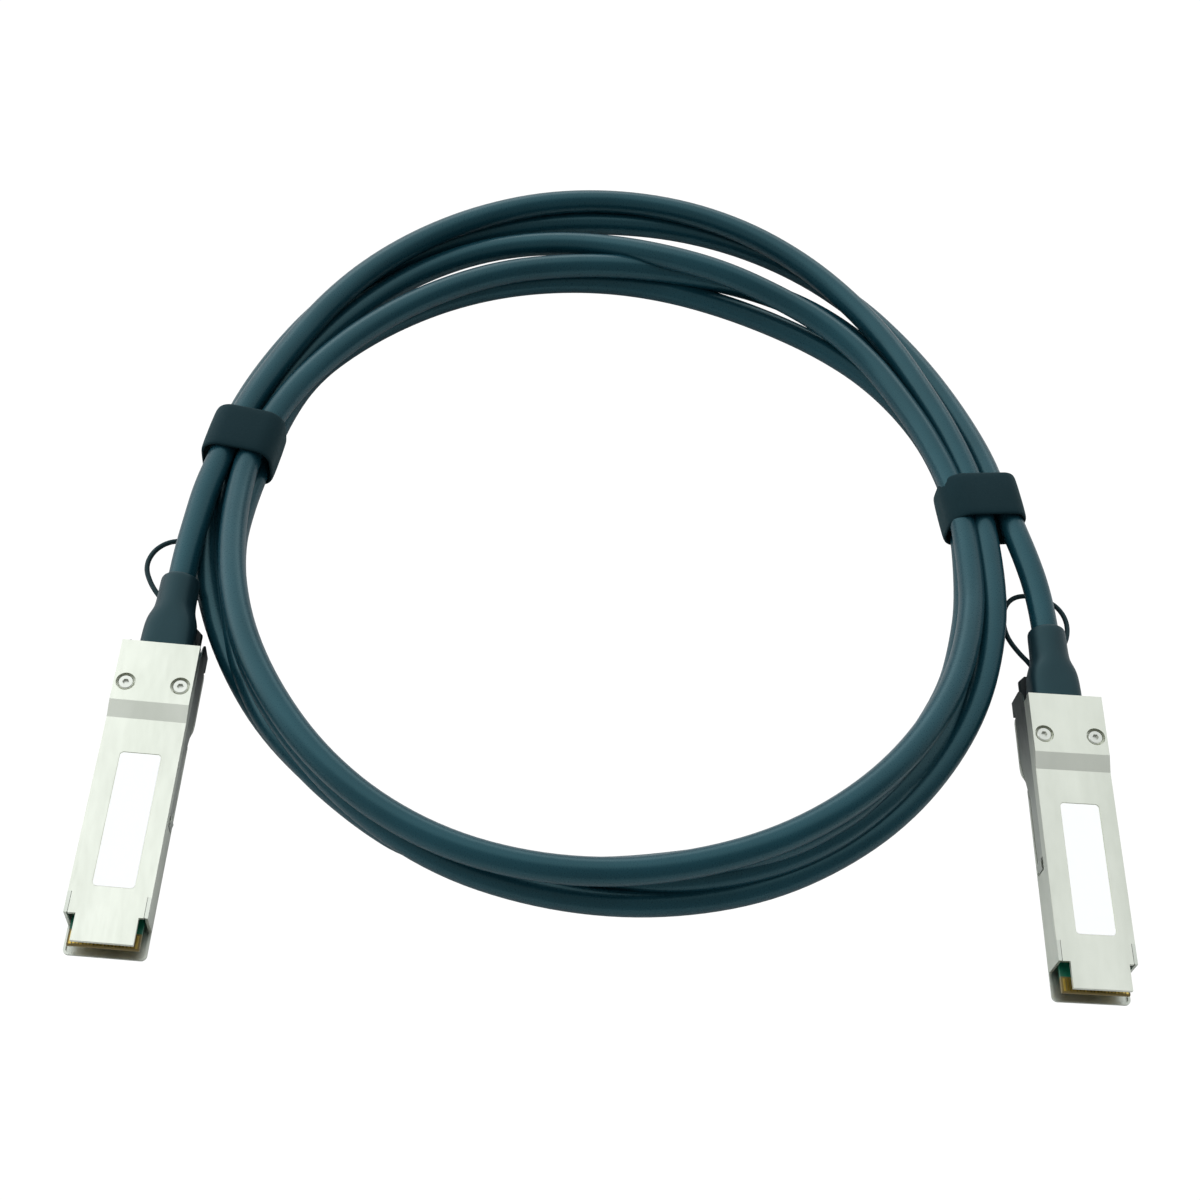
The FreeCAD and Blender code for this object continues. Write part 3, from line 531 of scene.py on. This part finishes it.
slider = {
    "low": "a3a7a1",
    "high": "bcbfb8",
    # painted reflection: the slider's rear half is coloured dark as if mirroring the dark cable behind it
    "paintedReflection": "2e3836",         # its rear half
    "paintedReflectionFrom": 48,
    "paintedReflectionTo": 74,
    "corner": {"front": -3.0, "rear": 4.9, "top": 5.6, "low": 0.6},     # from the shell's rear
    "cornerSteps": 9,
}


def sliderFinish(side):
    made = metal(side + "_slider_steel", slider["low"], slider["high"], 0.34, (1, 0.2, 1))
    # the rear half is painted darker, a painted reflection of the dark cable
    mask = alongModule(made.node_tree, side, slider["paintedReflectionFrom"], slider["paintedReflectionTo"])
    overlay(made, mask, slider["paintedReflection"])
    return made


# two colours, roughness, then the grain's stretch on a metal, or its scale and depth
finishes = {
    "lower_shell": metal("plated_shell", "ccd0c6", "dee0d6", 0.42, (1, 0.15, 1)),
    "upper_cover": metal("plated_cover", "d6d9cd", "e6e8dd", 0.4, (1, 0.15, 1)),
    "cover_screws": metal("screw_steel", "cfd1c9", "dedfd8", 0.3),
    "contact_pads": metal("contact_gold", "c9a94c", "dcc070", 0.35),
    "memory_chip": plain("chip_body", "16181a", "202326", 0.5, 2500, 0.2),
    "capacitors": plain("capacitor_ceramic", "8a6a4a", "a88560", 0.4, 2500, 0.1),
    "wire_pairs": metal("pair_foil", "b8bcc0", "d3d6d8", 0.3),
    "crimp_ferrule": metal("crimp_metal", "b5a27a", "cbb98f", 0.3),
    "return_springs": metal("spring_wire", "8f9294", "a9acae", 0.25),
    "loop_anchor": plain("loop_polymer", "151d1f", "1f292b", 0.5, 1500, 0.2),
}


def dress(node, finish):
    node.data.materials.clear()
    node.data.materials.append(finish)


for side in sides:
    for name, finish in finishes.items():
        dress(bpy.data.objects[side + "_" + name], finish)
    dress(bpy.data.objects[side + "_paddle_card"], cardFinish(side))


# the stamped sliders, their upper rear corners rounded off
def sliderPiece(side):
    place = moduleMatrix(side)
    shellRear = max(p.y for p in modulePoints(side, "lower_shell"))
    corner = slider["corner"]
    front, run = shellRear + corner["front"], corner["rear"] - corner["front"]
    work = bmesh.new()
    work.from_mesh(bpy.data.objects[side + "_latch_slider"].data)
    work.transform(place.inverted())
    for step in range(slider["cornerSteps"]):
        y = front + run * math.sin(math.pi / 2 * step / slider["cornerSteps"])
        bmesh.ops.bisect_plane(work, geom=work.verts[:] + work.edges[:] + work.faces[:],
                               plane_co=(0, y * mm, 0), plane_no=(0, 1, 0))
    for vertex in work.verts:
        along = (vertex.co.y / mm - front) / run
        if along > 0:
            highest = corner["low"] + (corner["top"] - corner["low"]) * math.sqrt(max(0, 1 - along * along))
            vertex.co.z = min(vertex.co.z, highest * mm)
    bmesh.ops.dissolve_degenerate(work, dist=1e-6, edges=work.edges)
    work.transform(place)
    data = bpy.data.meshes.new(side + "_slider")
    work.to_mesh(data)
    work.free()
    piece = bpy.data.objects.new(side + "_slider", data)
    bpy.context.collection.objects.link(piece)
    dress(piece, sliderFinish(side))
    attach(piece, side + "_latch")
    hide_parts(side + "_latch_slider")


for side in sides:
    sliderPiece(side)
print("finishes set")


# blank labels in the covers' recesses
label = {
    "left": -4.25,
    "right": 5.05,
    "front": 13.55,
    "rear": 46.75,
    "corner": 0.9,
    "cornerSteps": 6,
    "base": 8.46,
    "thickness": 0.1,
    "edge": 0.06,
    "paintedGlow": 0.25,
}
labelPaper = plain("label_paper", "f6f6f4", "fcfcfa", 0.45, 1200, 0.05)
# the paper also glows faintly in white: painted light that brightens the labels
paperShader = labelPaper.node_tree.nodes["Principled BSDF"]
paperShader.inputs["Emission Color"].default_value = (1, 1, 1, 1)
paperShader.inputs["Emission Strength"].default_value = label["paintedGlow"]


def labelPiece(side):
    place = moduleMatrix(side)
    r = label["corner"]
    left, right = label["left"] + r, label["right"] - r
    front, rear = label["front"] + r, label["rear"] - r
    ring = []
    for number, (cx, cy) in enumerate(((right, rear), (left, rear), (left, front), (right, front))):
        for step in range(label["cornerSteps"] + 1):
            a = math.radians(number * 90 + step * 90 / label["cornerSteps"])
            ring.append((cx + r * math.cos(a), cy + r * math.sin(a)))
    vertices = []
    for inset, z in ((0, 0), (0, label["thickness"] * 0.7), (label["edge"], label["thickness"])):
        for x, y in ring:
            x -= math.copysign(inset, x - (left + right) / 2)
            y -= math.copysign(inset, y - (front + rear) / 2)
            vertices.append(place @ (Vector((x, y, label["base"] + z)) * mm))
    count = len(ring)
    faces = ringFaces(3, count) + [tuple(range(count)), tuple(range(2 * count, 3 * count))]
    piece = addMesh(side + "_label", vertices, faces, labelPaper, False)
    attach(piece, "cable_assembly")


for side in sides:
    labelPiece(side)


floorMake = {"half": 3.0, "low": -0.0002, "tone": (0.9, 0.9, 0.9, 1), "seen": 1.05}


# second shader for what the camera sees directly, first for what lights the object
def seenByCamera(tree, lighting, seen, surface):
    rays = tree.nodes.new("ShaderNodeLightPath")
    mix = tree.nodes.new("ShaderNodeMixShader")
    tree.links.new(rays.outputs["Is Camera Ray"], mix.inputs["Fac"])
    tree.links.new(lighting, mix.inputs[1])
    tree.links.new(seen, mix.inputs[2])
    tree.links.new(mix.outputs["Shader"], surface)


def paleFloor():
    work = bmesh.new()
    bmesh.ops.create_grid(work, x_segments=1, y_segments=1, size=floorMake["half"])
    data = bpy.data.meshes.new("floor")
    work.to_mesh(data)
    work.free()
    floor = bpy.data.objects.new("floor", data)
    floor.location = (0, 0, floorMake["low"])
    bpy.context.collection.objects.link(floor)
    made, tree, shader = material("pale_floor", Roughness=0.9, Base_Color=floorMake["tone"])
    white = tree.nodes.new("ShaderNodeEmission")
    white.inputs["Strength"].default_value = floorMake["seen"]
    seenByCamera(tree, shader.outputs["BSDF"], white.outputs["Emission"],
                 tree.nodes["Material Output"].inputs["Surface"])
    data.materials.append(made)


studio = {
    "tint": (0.95, 0.985, 1, 1),
    # brightness from straight ahead of the modules, over the top, to straight behind the coil
    "bank": [(0.38, 0.3), (0.44, 0.36), (0.56, 1.06), (0.75, 1.06), (0.95, 0.75)],
    "right": 0.55,
    "left": 1.88,
    "rear": {"place": (0.1, 1.2, 0.5), "aim": (0, 0.06, 0), "size": (1.6, 0.4), "power": 2.5},
}


def rearBank():
    its = studio["rear"]
    data = bpy.data.lights.new("rear_bank", "AREA")
    data.shape = "RECTANGLE"
    data.size, data.size_y = its["size"]
    data.energy = its["power"]
    light = bpy.data.objects.new("rear_bank", data)
    light.location = its["place"]
    light.rotation_euler = (Vector(its["aim"]) - light.location).to_track_quat("-Z", "Y").to_euler()
    bpy.context.collection.objects.link(light)


# a value that runs from start to end across the sky in a direction
def towards(tree, direction, start, end):
    coordinates = tree.nodes.new("ShaderNodeTexCoord")
    along = tree.nodes.new("ShaderNodeVectorMath")
    along.operation = "DOT_PRODUCT"
    along.inputs[1].default_value = direction
    tree.links.new(coordinates.outputs["Generated"], along.inputs[0])
    span = tree.nodes.new("ShaderNodeMapRange")
    for socket, value in zip(("From Min", "From Max", "To Min", "To Max"), (-1, 1, start, end)):
        span.inputs[socket].default_value = value
    tree.links.new(along.outputs["Value"], span.inputs["Value"])
    return span.outputs["Result"]


# a soft white room, brightest from straight above to the rear, and more so on the left
def makeWorld():
    world = bpy.data.worlds.new("studio")
    world.use_nodes = True
    tree = world.node_tree
    background = tree.nodes["Background"]
    background.inputs["Color"].default_value = studio["tint"]
    bank = tree.nodes.new("ShaderNodeValToRGB")
    elements = bank.color_ramp.elements
    while len(elements) < len(studio["bank"]):
        elements.new(0.5)
    for element, (position, brightness) in zip(elements, studio["bank"]):
        element.position = position
        element.color = grey(brightness)
    tree.links.new(towards(tree, (0, 1, 0), 0, 1), bank.inputs["Fac"])
    strength = tree.nodes.new("ShaderNodeMath")
    strength.operation = "MULTIPLY"
    tree.links.new(bank.outputs["Color"], strength.inputs[0])
    tree.links.new(towards(tree, (-1, 0, 0), studio["right"], studio["left"]), strength.inputs[1])
    tree.links.new(strength.outputs["Value"], background.inputs["Strength"])
    backdrop = tree.nodes.new("ShaderNodeBackground")
    backdrop.inputs["Color"].default_value = grey(1)
    seenByCamera(tree, background.outputs["Background"], backdrop.outputs["Background"],
                 tree.nodes["World Output"].inputs["Surface"])
    bpy.context.scene.world = world


paleFloor()
makeWorld()
rearBank()
bpy.context.scene.view_settings.view_transform = "Standard"
print("stage lit")
